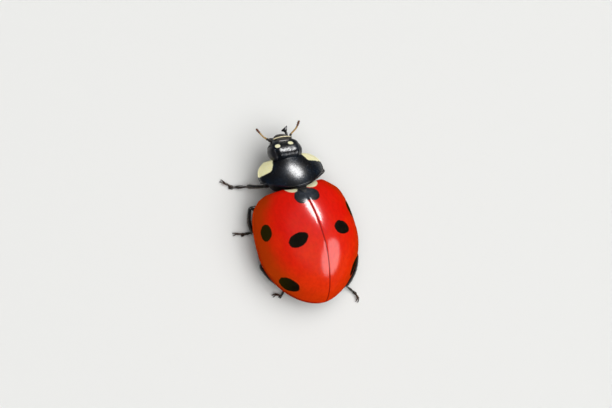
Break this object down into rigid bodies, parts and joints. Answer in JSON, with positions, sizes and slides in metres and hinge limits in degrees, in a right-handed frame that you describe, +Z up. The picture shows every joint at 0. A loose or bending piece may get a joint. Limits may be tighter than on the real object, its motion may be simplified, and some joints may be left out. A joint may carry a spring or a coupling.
{
  "type": "ladybird beetle figure",
  "caption": "Life-size still model of a red spotted ladybird beetle standing on its feet in mid stride, with domed wing cases.",
  "frame": {"origin": "middle of the footprint's bounding box, on the floor plane under the feet", "axes": "+Z up from the floor; -Y towards the head, +Y towards the tail; +X to the animal's left"},
  "size_m": [0.006, 0.0094, 0.0029],
  "materials": {
    "wing_case": "glossy red-orange cuticle",
    "shell": "glossy black cuticle",
    "underside": "satin black cuticle",
    "eye": "faceted black",
    "feeler": "orange-brown cuticle",
    "leg": "black cuticle with short hairs"
  },
  "bodies": {
    "root": {"abdomen": "underside", "antenna_club_left": "feeler", "antenna_club_right": "feeler", "antenna_scape_left": "feeler", "antenna_scape_right": "feeler", "antenna_shaft_left": "feeler", "antenna_shaft_right": "feeler", "claws_front_left": "leg", "claws_front_right": "leg", "claws_hind_left": "leg", "claws_hind_right": "leg", "claws_middle_left": "leg", "claws_middle_right": "leg", "coxa_front_left": "leg", "coxa_front_right": "leg", "coxa_hind_left": "leg", "coxa_hind_right": "leg", "coxa_middle_left": "leg", "coxa_middle_right": "leg", "elytron_left": "wing_case", "elytron_right": "wing_case", "eye_left": "eye", "eye_right": "eye", "femur_front_left": "leg", "femur_front_right": "leg", "femur_hind_left": "leg", "femur_hind_right": "leg", "femur_middle_left": "leg", "femur_middle_right": "leg", "head": "shell", "labrum": "shell", "palp_left": "leg", "palp_right": "leg", "pronotum": "shell", "prosternum": "underside", "scutellum": "shell", "tarsus_front_left": "leg", "tarsus_front_right": "leg", "tarsus_hind_left": "leg", "tarsus_hind_right": "leg", "tarsus_middle_left": "leg", "tarsus_middle_right": "leg", "thorax": "underside", "tibia_front_left": "leg", "tibia_front_right": "leg", "tibia_hind_left": "leg", "tibia_hind_right": "leg", "tibia_middle_left": "leg", "tibia_middle_right": "leg"}
  },
  "joints": []
}
